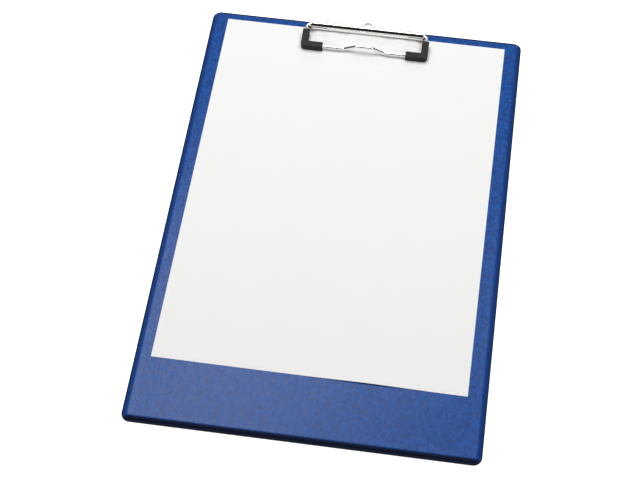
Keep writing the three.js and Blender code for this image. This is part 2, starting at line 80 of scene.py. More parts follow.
# ---- clip plate -------------------------------------------------------------------
PLATE_THICKNESS = 0.6
PLATE_WIDTH = 76
PLATE_CORNER = 2.5
PLATE_REACH = 11.9  # from the barrel's axis to the foot's front edge
BARREL_RADIUS = 3.375
BARREL_END_ANGLE = 320  # in degrees, round the barrel from the upright wall
WALL_BEND = 1.2
FOOT_OVERLAP = 0.5  # of the flat foot and the barrel's section
SLOT_SKIN = 0.01  # of metal over the slot that the tab slides in
PLATE_BEVEL = 0.12

# ---- hanging tab and guide --------------------------------------------------------
TAB_WIDTH = 13
TAB_SIDE_GAP = 0.35
TAB_NOSE_PROUD = 2.5  # beyond the shoulders
TAB_NOSE_RADIUS = 3.35
TAB_NOSE_STEPS = 32
TAB_HOLE_RADIUS = 3
TAB_HOLE_MARGIN = 1.8  # between the hole and the shoulders' line
TAB_STOP_LENGTH = 2.4
TAB_BEVEL = 0.1
GUIDE_WALL = 0.7
NECK_AHEAD = 4.7  # from the barrel's axis to the front end of the tab's slot

# ---- rivets -----------------------------------------------------------------------
RIVET_SPACING = 52
RIVET_SHANK = 2  # radii
RIVET_FRONT_HEAD = 3
RIVET_HOLE_GAP = 0.25
RIVET_PLATE_GAP = 0.02
DOME_ANGLES = range(0, 90, 6)  # in degrees, from the front head's edge up to near its top
BACK_HEAD_EXTRA = 0.1  # by which the back head is thicker than the front one
BACK_HEAD_FLAT = 1.2  # from the back head's edge to its flat middle
BACK_HEAD_EDGE = 0.3
BACK_HEAD_RISE = 0.08  # of its underside, from the flat middle to the edge

# ---- wire bail and sleeves --------------------------------------------------------
WIRE_RADIUS = 1.25
WIRE_END_ROUND = 0.25
WIRE_BEND = 2.75
BAIL_WIDTH = 90
BAIL_DEPTH = 19
STUB_END = 16  # from the clip's middle to the stubs' inner ends
HUMP_RISE = 4.27
HUMP_FOOT = 15  # half widths
HUMP_TOP = 5.8
HUMP_BEND = 2.6
SLEEVE_SIZE = 5.1
SLEEVE_HEIGHT = 5
SLEEVE_CORNER = 3
SLEEVE_EDGE = 0.45
SLEEVE_BORE = 1.4

# ---- springs and bushes -----------------------------------------------------------
SPRING_WIRE = 0.45  # radius
SPRING_TURNS = 10
SPRING_PITCH = 1.3
SPRING_TAIL = 1
SPRING_STEPS = 30  # in one turn
SPRING_SIDES = 12
BUSH_BORE = 1.4
BUSH_CHAMFER = 0.35

# ---- paper ------------------------------------------------------------------------
PAPER_THICKNESS = 0.12
PAPER_TURN = -0.2  # degrees, the sheet was pushed in slightly askew
PAPER_LIFT = 0.04  # over the metal under it
PAPER_MARGIN = 0.4  # round that metal, before the sheet starts to come down
PLATE_RAMP = 4.0  # run over which the sheet climbs onto the plate
GUIDE_RAMP = 11.0
PAPER_COLUMNS = 140
FAR_RUN = 34  # length of the far end, which climbs and has denser rows
PAPER_ROWS = ((FAR_RUN, 70), (9, 32), (0, 32))  # up to a distance from the far end: rows
BULGE_RISE = 1.4  # of the sheet's far end, which was pushed in until it met the barrel
BULGE_RUN = 7.5  # over which it rises
BULGE_AHEAD = 2.9  # from the barrel's axis to the bulge's top
BARREL_GAP = 0.08  # between the sheet and the barrel
WAVE_HEIGHT = 0.02
WAVE_SPANS = (60, 80)  # across and along the sheet
WAVE_SLICE = 2.5  # of the noise
WAVE_GROWTH = 20  # the waves are whole from 1/20 of the sheet's length on
WAVE_GAP = 10  # between the waves and the far run
CURL_HEIGHT = 0.9  # lift of the sheet's free end
CURL_SHARE = 0.12  # of the sheet's length, over which it rises
CURL_PLACE = 0.69  # the lift's middle and spread, in shares of the sheet's width
CURL_SPREAD = 0.13

# ---- finish of the meshes ---------------------------------------------------------
BEND_STEPS = 12  # in a quarter turn
BARREL_STEPS = 72
BARREL_CELLS = 60  # along the barrel
STRAIGHT_SHARES = (0.04, 0.3, 0.7, 0.96)  # of a straight run of wire
WIRE_SIDES = 28
TURNED_STEPS = 64
OVERCUT = 1  # by which cutters pass through a piece


# ---- mesh helpers -----------------------------------------------------------------


def box_mm(node):
    """Lowest and highest corner of a CAD node, in millimetres."""
    low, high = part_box(node)
    return low / MM, high / MM


def to_object(name, bm):
    """A millimetre bmesh as an object in metres, with consistent outward normals."""
    bmesh.ops.remove_doubles(bm, verts=bm.verts, dist=1e-5)
    bmesh.ops.recalc_face_normals(bm, faces=bm.faces)
    bmesh.ops.scale(bm, vec=(MM, MM, MM), verts=bm.verts)
    mesh = bpy.data.meshes.new(name)
    bm.to_mesh(mesh)
    bm.free()
    obj = bpy.data.objects.new(name, mesh)
    bpy.context.scene.collection.objects.link(obj)
    return obj


def apply_modifiers(obj):
    """The object's mesh becomes what its modifiers make of it."""
    bpy.context.view_layer.update()
    graph = bpy.context.evaluated_depsgraph_get()
    mesh = bpy.data.meshes.new_from_object(obj.evaluated_get(graph))
    obj.modifiers.clear()
    obj.data = mesh


def combine(obj, operation, *others):
    """Boolean of obj with each of the others, which are used up."""
    for other in others:
        modifier = obj.modifiers.new("boolean", "BOOLEAN")
        modifier.operation = operation
        modifier.solver = "EXACT"
        modifier.object = other
        apply_modifiers(obj)
        bpy.data.objects.remove(other)
    return obj


def bevel(obj, width, segments=2, angle=40):
    """Round off the edges that turn by more than an angle in degrees."""
    modifier = obj.modifiers.new("bevel", "BEVEL")
    modifier.width = width * MM
    modifier.segments = segments
    modifier.limit_method = "ANGLE"
    modifier.angle_limit = math.radians(angle)
    apply_modifiers(obj)
    return obj


def settle(obj, body, slot, material, *nodes, sharp=35):
    """Shading, material, body and the CAD nodes that the object stands for, which are hidden. The
    slot is not used.
    """
    obj.data.polygons.foreach_set("use_smooth", [True] * len(obj.data.polygons))
    obj.data.set_sharp_from_angle(angle=math.radians(sharp))
    obj.data.materials.clear()
    obj.data.materials.append(material)
    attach(obj, body)
    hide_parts(*nodes)
    return obj


def stack(rings):
    """Closed skin through rings of points, with an n-gon at each end."""
    bm = bmesh.new()
    layers = [[bm.verts.new(point) for point in ring] for ring in rings]
    count = len(rings[0])
    for lower, upper in zip(layers, layers[1:]):
        for i in range(count):
            j = (i + 1) % count
            bm.faces.new((lower[i], lower[j], upper[j], upper[i]))
    bm.faces.new(reversed(layers[0]))
    bm.faces.new(layers[-1])
    return bm


def prism(outline, low, high):
    """Plan outline pulled up between two heights."""
    return stack([[(x, y, z) for x, y in outline] for z in (low, high)])


def about(middle, half):
    """Range of a width that is centred on a place."""
    return middle - half, middle + half


def block(x_range, y_range, z_range):
    """Square block between two places on each axis."""
    (x0, x1), (y0, y1) = x_range, y_range
    return prism([(x0, y0), (x1, y0), (x1, y1), (x0, y1)], *z_range)


def arc(centre, radius, start, end, steps):
    """Points of a circular arc in a plane, between two angles in degrees."""
    angles = [math.radians(start + (end - start) * i / steps) for i in range(steps + 1)]
    return [
        (centre[0] + radius * math.cos(a), centre[1] + radius * math.sin(a))
        for a in angles
    ]


def moved(bm, offset):
    """The bmesh itself, after a shift."""
    bmesh.ops.translate(bm, vec=offset, verts=bm.verts)
    return bm


def turned(profile):
    """Solid of revolution about Z through (radius, height) points."""
    bm = bmesh.new()
    turns = [2 * math.pi * i / TURNED_STEPS for i in range(TURNED_STEPS)]
    closed = profile[0] == profile[-1]
    rings = [
        [bm.verts.new((r * math.cos(t), r * math.sin(t), z)) for t in turns]
        for r, z in (profile[:-1] if closed else profile)
    ]
    if closed:
        rings.append(rings[0])
    for lower, upper in zip(rings, rings[1:]):
        for i in range(TURNED_STEPS):
            j = (i + 1) % TURNED_STEPS
            bm.faces.new((lower[i], lower[j], upper[j], upper[i]))
    if not closed:
        bm.faces.new(reversed(rings[0]))
        bm.faces.new(rings[-1])
    return bm


def round_bend(before, corner, after, radius):
    """Points of the round bend between two straight runs."""
    inward = (before - corner).normalized()
    outward = (after - corner).normalized()
    half = inward.angle(outward) / 2
    centre = corner + (inward + outward).normalized() * (radius / math.sin(half))
    start = corner + inward * (radius / math.tan(half)) - centre
    axis = outward.cross(inward).normalized()
    sweep = math.pi - 2 * half
    steps = max(4, round(BEND_STEPS * sweep / (math.pi / 2)))
    return [
        centre + Matrix.Rotation(sweep * i / steps, 3, axis) @ start
        for i in range(steps + 1)
    ]


def bent_path(points, radii):
    """Route with round bends. Its straight runs get a few points, so that they shade evenly."""
    path = [points[0]]
    for before, corner, after, radius in zip(points, points[1:], points[2:], radii):
        bend = round_bend(before, corner, after, radius)
        path += straight_points(path[-1], bend[0]) + bend
    return path + straight_points(path[-1], points[-1]) + [points[-1]]


def straight_points(start, end):
    """Points on a straight run of wire."""
    return [start.lerp(end, share) for share in STRAIGHT_SHARES]


def swept(path, radius, sides=WIRE_SIDES, end_round=0.0):
    """Round wire along a path. end_round softens the edge of its cut ends."""
    tangents = [
        (path[min(i + 1, len(path) - 1)] - path[max(i - 1, 0)]).normalized()
        for i in range(len(path))
    ]
    normal = tangents[0].orthogonal().normalized()
    rings = []
    for i, (point, tangent) in enumerate(zip(path, tangents)):
        normal = (normal - tangent * normal.dot(tangent)).normalized()
        side = tangent.cross(normal)
        turns = [2 * math.pi * k / sides for k in range(sides)]
        ring = [normal * math.cos(turn) + side * math.sin(turn) for turn in turns]
        if end_round and i == 0:
            rings.append([point + (radius - end_round) * r for r in ring])
            rings.append([point + tangent * end_round + radius * r for r in ring])
        elif end_round and i == len(path) - 1:
            rings.append([point - tangent * end_round + radius * r for r in ring])
            rings.append([point + (radius - end_round) * r for r in ring])
        else:
            rings.append([point + radius * r for r in ring])
    return stack(rings)


# ---- material helpers -------------------------------------------------------------


class Nodes:
    """Short forms for building one material's node tree."""

    def __init__(self, name):
        self.material = bpy.data.materials.new(name)
        self.material.use_nodes = True
        self.tree = self.material.node_tree
        self.shader = self.tree.nodes["Principled BSDF"]

    def add(self, kind, inputs=None, **settings):
        """New node, with values or links for its inputs."""
        node = self.tree.nodes.new(kind)
        for key, value in settings.items():
            setattr(node, key, value)
        for key, value in (inputs or {}).items():
            self.feed(node.inputs[key], value)
        return node

    def feed(self, socket, value):
        """Link to another socket, or a plain value of the socket's own."""
        if isinstance(value, bpy.types.NodeSocket):
            self.tree.links.new(value, socket)
        else:
            socket.default_value = value

    def shade(self, **inputs):
        """Inputs of the shader, by name."""
        for key, value in inputs.items():
            self.feed(self.shader.inputs[key.replace("_", " ")], value)

    def place(self):
        """Place on the object, in metres."""
        return self.add("ShaderNodeTexCoord").outputs["Object"]

    def noise(self, scale, detail, roughness, stretch=None):
        """Noise with a scale per metre. A stretch below 1 lengthens it along that axis."""
        place = self.place()
        if stretch:
            place = self.add("ShaderNodeMapping", {"Vector": place, "Scale": stretch}).outputs[0]
        inputs = {"Vector": place, "Scale": scale, "Detail": detail, "Roughness": roughness}
        return self.add("ShaderNodeTexNoise", inputs).outputs["Fac"]

    def cells(self, scale):
        """Distance to the middle of the nearest of many cells."""
        inputs = {"Vector": self.place(), "Scale": scale}
        return self.add("ShaderNodeTexVoronoi", inputs).outputs["Distance"]

    def ramp(self, value, low, high, start=0.0, end=1.0):
        """Value between low and high, as a number that goes from start to end."""
        inputs = {"Value": value, "From Min": low, "From Max": high, "To Min": start, "To Max": end}
        return self.add("ShaderNodeMapRange", inputs, clamp=True).outputs["Result"]

    def math(self, operation, a, b=0.0):
        """Arithmetic on one or two values."""
        return self.add("ShaderNodeMath", {0: a, 1: b}, operation=operation).outputs[0]

    def blend(self, factor, a, b):
        """Colour between a, at 0, and b, at 1."""
        node = self.add("ShaderNodeMix", data_type="RGBA")
        self.feed(node.inputs[0], factor)
        self.feed(node.inputs[6], a)
        self.feed(node.inputs[7], b)
        return node.outputs[2]

    def bump(self, height, strength, distance):
        """Normal of a bumpy surface, from a height and a distance in millimetres."""
        inputs = {"Height": height, "Strength": strength, "Distance": distance * MM}
        return self.add("ShaderNodeBump", inputs).outputs[0]


def colour(red, green, blue):
    """Opaque colour from linear values."""
    return (red, green, blue, 1.0)


# ---- materials --------------------------------------------------------------------

# Each noise has a scale per metre, a detail and a roughness. Spans are in metres inwards.
VINYL_DARK = colour(0.0, 0.035, 0.185)
VINYL_LIGHT = colour(0.0, 0.066, 0.300)
VINYL_CLOUD = colour(0.0, 0.055, 0.255)
# Painted shade: the rim's navy and the near-black of the lip and the near edge stand in for the
# shade on the board's rounded edge.
VINYL_RIM_PAINTED_SHADE = colour(0.0, 0.03, 0.165)
VINYL_DEEP_PAINTED_SHADE = colour(0.0005, 0.002, 0.009)
VINYL_GRAIN = (520, 4, 0.6)
VINYL_CREASE = (400, 4, 0.6)
VINYL_PORES = (1500, 2, 0.5)
VINYL_CLOUDS = (22, 3, 0.5)
VINYL_ROUGHNESS = (0.235, 0.31)
GRAIN_TONE = 0.6  # shares of the noises in the colour
CREASE_TONE = 0.4
GRAIN_HEIGHT = 0.9  # and in the bumps
CREASE_HEIGHT = 1.3
PORE_HEIGHT = 0.35
CLOUD_SHARE = 0.3
# Spans of the painted edge shade: round the rim, at the lip and along the near edge.
RIM_SHADE_SPAN = (2.6 * MM, 4.4 * MM)  # over which the painted edge shade fades into the face's colour
LIP_SHADE_SPAN = (0.5 * MM, 1.1 * MM)
NEAR_EDGE_SHADE_SPAN = (2.9 * MM, 4.2 * MM)
EDGE_SHADE_SHARE = 0.9  # of the painted edge shade, where it is strongest
EDGE_DULLNESS = 0.45

CHROME_TONES = (colour(0.86, 0.84, 0.82), colour(0.91, 0.90, 0.885))
CHROME_STREAKS = (900, 3, 0.6)
CHROME_SPOTS = (140, 4, 0.6)
CHROME_UNEVENNESS = 0.05  # of its roughness

STEEL_TONES = (0.60, 0.70)
TAB_TONES = (0.46, 0.54)
STEEL_GRAIN = (1500, 3, 0.6)
STEEL_PATCHES = (220, 3, 0.55)
STEEL_UNEVENNESS = 0.12

RUBBER_TONES = (colour(0.010, 0.010, 0.009), colour(0.020, 0.019, 0.017))
RUBBER_BLOOM = (350, 5, 0.65)
RUBBER_SKIN = (2600, 2, 0.5)
RUBBER_ROUGHNESS = (0.48, 0.62)

NYLON_TONES = (colour(0.010, 0.010, 0.011), colour(0.020, 0.020, 0.021))
NYLON_SKIN = (1900, 3, 0.5)
NYLON_ROUGHNESS = (0.4, 0.55)

PAPER_TONES = (colour(0.772, 0.772, 0.768), colour(0.780, 0.780, 0.776))
PAPER_FIBRE = (2300, 4, 0.6)
PAPER_CLOUDS = (45, 3, 0.5)
PAPER_ROUGHNESS = (0.82, 0.95)

GREYBOARD_TONES = (colour(0.20, 0.185, 0.16), colour(0.31, 0.295, 0.265))
GREYBOARD_FLECK = colour(0.09, 0.085, 0.075)
GREYBOARD_FIBRE = (600, 6, 0.7)
GREYBOARD_FLECKS = 420

FLOOR_TONES = (colour(0.88, 0.88, 0.88), colour(0.9, 0.9, 0.9))
FLOOR_SPECKS = (30, 2, 0.5)
FLOOR_GLOW = 0.7


def vinyl_material():
    """Blue vinyl with a fine leather grain. Its rim carries painted shade and is duller, and its
    lip and near edge are painted almost black as shade.
    """
    n = Nodes("blue_vinyl")
    low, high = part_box("front_cover")
    axes = n.add("ShaderNodeSeparateXYZ", {"Vector": n.place()}).outputs
    from_side = n.math("SUBTRACT", high.x, n.math("ABSOLUTE", axes["X"]))
    from_end = n.math("SUBTRACT", high.y, n.math("ABSOLUTE", axes["Y"]))
    inset = n.math("MINIMUM", from_side, from_end)
    from_front = n.math("SUBTRACT", axes["Y"], low.y)
    # Masks of the painted shade: rim, lip and front darken the colour round the edge, most of all
    # along the near edge.
    rim = n.ramp(inset, *RIM_SHADE_SPAN, 1.0, 0.0)
    lip_shade = n.ramp(inset, *LIP_SHADE_SPAN, 1.0, 0.0)
    front = n.ramp(from_front, *NEAR_EDGE_SHADE_SPAN, 1.0, 0.0)

    grain = n.noise(*VINYL_GRAIN)
    crease = n.noise(*VINYL_CREASE, stretch=(1.0, 0.6, 1.0))
    pores = n.noise(*VINYL_PORES)
    cloud = n.noise(*VINYL_CLOUDS)
    grain_tone = n.math("MULTIPLY", grain, GRAIN_TONE)
    tone = n.math("ADD", grain_tone, n.math("MULTIPLY", crease, CREASE_TONE))
    base = n.blend(n.ramp(tone, 0.43, 0.57), VINYL_DARK, VINYL_LIGHT)
    base = n.blend(n.ramp(cloud, 0.35, 0.65, 0.0, CLOUD_SHARE), base, VINYL_CLOUD)
    # Painted shade on the rim, at the lip and along the near edge.
    for share, shade_colour in ((rim, VINYL_RIM_PAINTED_SHADE), (lip_shade, VINYL_DEEP_PAINTED_SHADE), (front, VINYL_DEEP_PAINTED_SHADE)):
        base = n.blend(n.math("MULTIPLY", share, EDGE_SHADE_SHARE), base, shade_colour)
    height = n.math("MULTIPLY", crease, CREASE_HEIGHT)
    height = n.math("ADD", height, n.math("MULTIPLY", grain, GRAIN_HEIGHT))
    height = n.math("ADD", height, n.math("MULTIPLY", pores, PORE_HEIGHT))
    dullness = n.math("MULTIPLY", n.math("MAXIMUM", rim, front), EDGE_DULLNESS)
    n.shade(
        Base_Color=base,
        Roughness=n.math("ADD", n.ramp(crease, 0.38, 0.62, *VINYL_ROUGHNESS), dullness),
        Normal=n.bump(height, strength=0.8, distance=0.08),
    )
    n.shader.inputs["Specular IOR Level"].default_value = 0.16
    n.shader.inputs["IOR"].default_value = 1.5
    return n.material


def chrome_material(name, roughness):
    """Bright plating with very faint streaks and a slightly uneven gloss."""
    n = Nodes(name)
    streak = n.noise(*CHROME_STREAKS, stretch=(0.08, 1.0, 1.0))
    spots = n.noise(*CHROME_SPOTS)
    n.shade(
        Base_Color=n.blend(n.ramp(spots, 0.3, 0.7), *CHROME_TONES),
        Metallic=1.0,
        Roughness=n.ramp(spots, 0.35, 0.7, roughness, roughness + CHROME_UNEVENNESS),
        Normal=n.bump(streak, strength=0.03, distance=0.01),
    )
    return n.material


def steel_material(name, roughness, stretch, tones=STEEL_TONES):
    """Zinc-plated steel with a fine grain and patches between two brightnesses."""
    n = Nodes(name)
    grain = n.noise(*STEEL_GRAIN, stretch=stretch)
    patches = n.noise(*STEEL_PATCHES)
    dark, light = (colour(tone, tone * 0.99, tone * 0.97) for tone in tones)
    n.shade(
        Base_Color=n.blend(n.ramp(patches, 0.35, 0.65), dark, light),
        Metallic=1.0,
        Roughness=n.ramp(grain, 0.3, 0.7, roughness, roughness + STEEL_UNEVENNESS),
        Normal=n.bump(grain, strength=0.15, distance=0.02),
    )
    return n.material


def rubber_material():
    """Nearly black rubber with a faint dusty bloom."""
    n = Nodes("black_rubber")
    bloom = n.noise(*RUBBER_BLOOM)
    skin = n.noise(*RUBBER_SKIN)
    n.shade(
        Base_Color=n.blend(n.ramp(bloom, 0.35, 0.7), *RUBBER_TONES),
        Roughness=n.ramp(bloom, 0.3, 0.7, *RUBBER_ROUGHNESS),
        Normal=n.bump(n.math("ADD", skin, bloom), strength=0.25, distance=0.05),
    )
    n.shader.inputs["Specular IOR Level"].default_value = 0.22
    return n.material


def nylon_material():
    """Black moulded nylon."""
    n = Nodes("bush_nylon")
    skin = n.noise(*NYLON_SKIN)
    n.shade(
        Base_Color=n.blend(skin, *NYLON_TONES),
        Roughness=n.ramp(skin, 0.3, 0.7, *NYLON_ROUGHNESS),
        Normal=n.bump(skin, strength=0.2, distance=0.03),
    )
    return n.material


def paper_material():
    """Smooth office paper: fine fibre, and a very slight cloudiness."""
    n = Nodes("white_paper")
    fibre = n.noise(*PAPER_FIBRE, stretch=(1.0, 0.4, 1.0))
    cloud = n.noise(*PAPER_CLOUDS)
    n.shade(
        Base_Color=n.blend(n.ramp(cloud, 0.3, 0.7), *PAPER_TONES),
        Roughness=n.ramp(fibre, 0.3, 0.7, *PAPER_ROUGHNESS),
        Normal=n.bump(fibre, strength=0.12, distance=0.02),
    )
    n.shader.inputs["Specular IOR Level"].default_value = 0.25
    return n.material


def greyboard_material():
    """Grey recycled board: pressed fibres with dark flecks."""
    n = Nodes("greyboard")
    fibre = n.noise(*GREYBOARD_FIBRE, stretch=(1.0, 0.3, 1.0))
    fleck = n.cells(GREYBOARD_FLECKS)
    base = n.blend(n.ramp(fibre, 0.3, 0.7), *GREYBOARD_TONES)
    base = n.blend(n.ramp(fleck, 0.02, 0.1, 0.6, 0.0), base, GREYBOARD_FLECK)
    n.shade(Base_Color=base, Roughness=0.92, Normal=n.bump(fibre, strength=0.5, distance=0.08))
    return n.material


# ---- places in the frame ----------------------------------------------------------


def clip_x():
    """The clip's middle."""
    low, high = box_mm("clip_plate")
    return (low.x + high.x) / 2


def axis_yz():
    """Place and height of the barrel's axis, which the springs and the bushes share."""
    spring_low, spring_high = box_mm("torsion_spring_left")
    bush_low, bush_high = box_mm("barrel_bush_left")
    return (spring_low.y + spring_high.y) / 2, (bush_low.z + bush_high.z) / 2


def bar_yz():
    """Place and height of the bail's front bar."""
    return axis_yz()[0] - BAIL_DEPTH, box_mm("sleeve_left")[0].z + SLEEVE_HEIGHT / 2


def rivet_y():
    """Both rivets' place along the board."""
    low, high = box_mm("rivet_left")
    return (low.y + high.y) / 2


def rivet_xs():
    """The rivets' places across the board, left and right."""
    return about(clip_x(), RIVET_SPACING / 2)


def chamber_half():
    """Half width of the guide's inside, where the tab's wide front end slides."""
    low, high = box_mm("hanging_tab")
    return (high.x - low.x) / 2 + TAB_SIDE_GAP


# ---- board pieces -----------------------------------------------------------------


def board_ring(inset, height):
    """The board's rounded outline, moved inwards, with cells along the straight sides.

    The height is one value, or a function of the place in x and y.
    """
    high = box_mm("front_cover")[1]
    radius = max(BOARD_CORNER - inset, LEAST_CORNER)
    points = []
    for corner, (sx, sy) in enumerate(((1, 1), (-1, 1), (-1, -1), (1, -1))):
        centre = (sx * (high.x - inset - radius), sy * (high.y - inset - radius))
        run = arc(centre, radius, 90 * corner, 90 * corner + 90, CORNER_STEPS)
        if points:
            points += straight_cells(points[-1], run[0])
        points += run
    points += straight_cells(points[-1], points[0])
    return [(x, y, height(x, y) if callable(height) else height) for x, y in points]


def straight_cells(start, end):
    """Points that divide a straight side evenly, without its two ends."""
    (x0, y0), (x1, y1) = start, end
    shares = [i / SIDE_CELLS for i in range(1, SIDE_CELLS)]
    return [(x0 + (x1 - x0) * share, y0 + (y1 - y0) * share) for share in shares]


def rolled_shoulder(radius, foot):
    """Rings of the rolled shoulder, from its foot up to the writing face."""
    centre = WELD_WIDTH + SHOULDER_RADIUS
    return [
        board_ring(centre - outward, foot + rise)
        for outward, rise in arc((0, 0), radius, 0, 90, CORNER_STEPS)
    ]


def weld_groove(surface, floor_height):
    """Rings of the pressed weld line, from the board's edge inwards."""
    outer, inner = WELD_GROOVE
    return [
        board_ring(outer - GROOVE_FLARE, surface),
        board_ring(outer + GROOVE_FOOT, floor_height),
        board_ring(inner - GROOVE_FOOT, floor_height),
        board_ring(inner + GROOVE_FLARE, surface),
    ]


def rivet_holes(radius, low, high):
    """Cutters at the two rivets."""
    return [
        to_object("hole", moved(turned([(radius, low), (radius, high)]), (x, rivet_y(), 0)))
        for x in rivet_xs()
    ]


def front_cover(material):
    """Front vinyl: welded rim with its pressed groove, rolled shoulder, lightly uneven face."""
    low, high = box_mm("front_cover")
    rim_top = low.z + COVER_THICKNESS

    def face_height(x, y):
        sag = noise.noise(Vector((x / SAG_SPAN, y / SAG_SPAN, SAG_SLICE)))
        return high.z - SURFACE_SAG * (0.5 - 0.5 * sag)

    inside = rolled_shoulder(SHOULDER_RADIUS - COVER_THICKNESS, rim_top)[::-1]
    rim = [
        board_ring(WELD_WIDTH + COVER_THICKNESS, low.z),
        board_ring(0, low.z),
        board_ring(0, rim_top - LIP_ROUND),
        board_ring(LIP_ROUND / 3, rim_top - LIP_ROUND / 3),
        board_ring(LIP_ROUND, rim_top),
        *weld_groove(rim_top, rim_top - WELD_GROOVE_DEPTH),
    ]
    shoulder = rolled_shoulder(SHOULDER_RADIUS, rim_top)
    insets = [WELD_WIDTH + SHOULDER_RADIUS + span for span in FACE_RINGS]
    face = [board_ring(inset, face_height) for inset in (*insets, high.x - FACE_MIDDLE)]
    cover = to_object("front_cover_vinyl", stack(inside + rim + shoulder + face))
    holes = rivet_holes(RIVET_SHANK + RIVET_HOLE_GAP, rim_top, high.z + OVERCUT)
    combine(cover, "DIFFERENCE", *holes)
    return settle(cover, "board", "blue_vinyl", material, "front_cover", sharp=50)


def back_cover(material):
    """Back vinyl: one flat sheet with the same weld line, half as deep, round its edge."""
    low, high = box_mm("back_cover")
    head_low, head_high = box_mm("rivet_left")
    hole = (head_high.x - head_low.x) / 2 + RIVET_HOLE_GAP
    rings = [
        board_ring(BACK_MIDDLE, high.z),
        board_ring(0, high.z),
        board_ring(0, low.z + LIP_ROUND / 2),
        board_ring(LIP_ROUND / 2, low.z),
        *weld_groove(low.z, low.z + WELD_GROOVE_DEPTH / 2),
        board_ring(BACK_MIDDLE, low.z),
    ]
    cover = to_object("back_cover_vinyl", stack(rings))
    combine(cover, "DIFFERENCE", *rivet_holes(hole, low.z - OVERCUT, high.z + OVERCUT))
    return settle(cover, "board", "blue_vinyl", material, "back_cover")


# ---- clip plate -------------------------------------------------------------------


def barrel_section():
    """Side view in (y, z) of the plate's rear: floor, upright wall and rolled barrel."""
    axis = axis_yz()
    bottom = box_mm("clip_plate")[0].z
    wall = axis[0] + BARREL_RADIUS
    bend = (wall - WALL_BEND, bottom + WALL_BEND)
    inner = BARREL_RADIUS - PLATE_THICKNESS
    front = axis[0] - WIRE_RADIUS
    return [
        (front, bottom),
        *arc(bend, WALL_BEND, -90, 0, BEND_STEPS),
        *arc(axis, BARREL_RADIUS, 0, BARREL_END_ANGLE, BARREL_STEPS),
        *arc(axis, inner, BARREL_END_ANGLE, 0, BARREL_STEPS),
        *arc(bend, WALL_BEND - PLATE_THICKNESS, 0, -90, BEND_STEPS),
        (front, bottom + PLATE_THICKNESS),
    ]


def foot_outline(front, rear):
    """Plan of the plate's flat foot, with its two round front corners."""
    left, right = about(clip_x(), PLATE_WIDTH / 2)
    near = front + PLATE_CORNER
    return [
        (right, rear),
        (left, rear),
        *arc((left + PLATE_CORNER, near), PLATE_CORNER, 180, 270, BEND_STEPS),
        *arc((right - PLATE_CORNER, near), PLATE_CORNER, 270, 360, BEND_STEPS),
    ]


def clip_plate(material):
    """Chromed plate: rolled barrel, flat foot and the pressed guide of the hanging tab."""
    low, high = box_mm("clip_plate")
    axis_y = axis_yz()[0]
    top = low.z + PLATE_THICKNESS
    below = low.z - OVERCUT
    slot_front = axis_y - NECK_AHEAD
    chamber_x = about(clip_x(), chamber_half())
    guide_x = about(clip_x(), chamber_half() + GUIDE_WALL)
    slot_x = about(clip_x(), TAB_WIDTH / 2 + TAB_SIDE_GAP)
    places = [low.x + (high.x - low.x) * i / BARREL_CELLS for i in range(BARREL_CELLS + 1)]
    section = barrel_section()
    barrel = stack([[(x, y, z) for y, z in section] for x in places])
    foot_plan = foot_outline(axis_y - PLATE_REACH, axis_y - WIRE_RADIUS + FOOT_OVERLAP)
    foot = prism(foot_plan, low.z, top)
    guide = block(guide_x, (low.y, slot_front + GUIDE_WALL), (low.z, top + PLATE_THICKNESS))
    chamber = block(chamber_x, (low.y + GUIDE_WALL, slot_front), (below, top))
    slot = block(slot_x, (slot_front - OVERCUT, high.y + OVERCUT), (below, top - SLOT_SKIN))
    plate = to_object("clip_plate_chrome", barrel)
    combine(plate, "UNION", to_object("foot", foot), to_object("guide", guide))
    combine(
        plate,
        "DIFFERENCE",
        to_object("chamber", chamber),
        to_object("slot", slot),
        *rivet_holes(RIVET_SHANK + RIVET_HOLE_GAP, below, high.z),
    )
    bevel(plate, PLATE_BEVEL)
    return settle(plate, "board", "chrome_plate", material, "clip_plate", sharp=30)


# ---- hanging tab and rivets -------------------------------------------------------


def hanging_tab(material):
    """Steel tongue with a rounded nose, square shoulders and the hole to hang it by."""
    low, high = box_mm("hanging_tab")
    x = (low.x + high.x) / 2
    half = TAB_WIDTH / 2
    shoulder = high.y - TAB_NOSE_PROUD
    nose = high.y - TAB_NOSE_RADIUS
    angle = math.degrees(math.asin((shoulder - nose) / TAB_NOSE_RADIUS))
    stop = low.y + TAB_STOP_LENGTH
    outline = [
        (low.x, low.y),
        (high.x, low.y),
        (high.x, stop),
        (x + half, stop),
        (x + half, shoulder),
        *arc((x, nose), TAB_NOSE_RADIUS, angle, 180 - angle, TAB_NOSE_STEPS),
        (x - half, shoulder),
        (x - half, stop),
        (low.x, stop),
    ]
    tab = to_object("hanging_tab_steel", prism(outline, low.z, high.z))
    hole_y = shoulder - TAB_HOLE_MARGIN - TAB_HOLE_RADIUS
    hole = turned([(TAB_HOLE_RADIUS, low.z - OVERCUT), (TAB_HOLE_RADIUS, high.z + OVERCUT)])
    combine(tab, "DIFFERENCE", to_object("hole", moved(hole, (x, hole_y, 0))))
    bevel(tab, TAB_BEVEL)
    return settle(tab, "tab", "tab_steel", material, "hanging_tab")


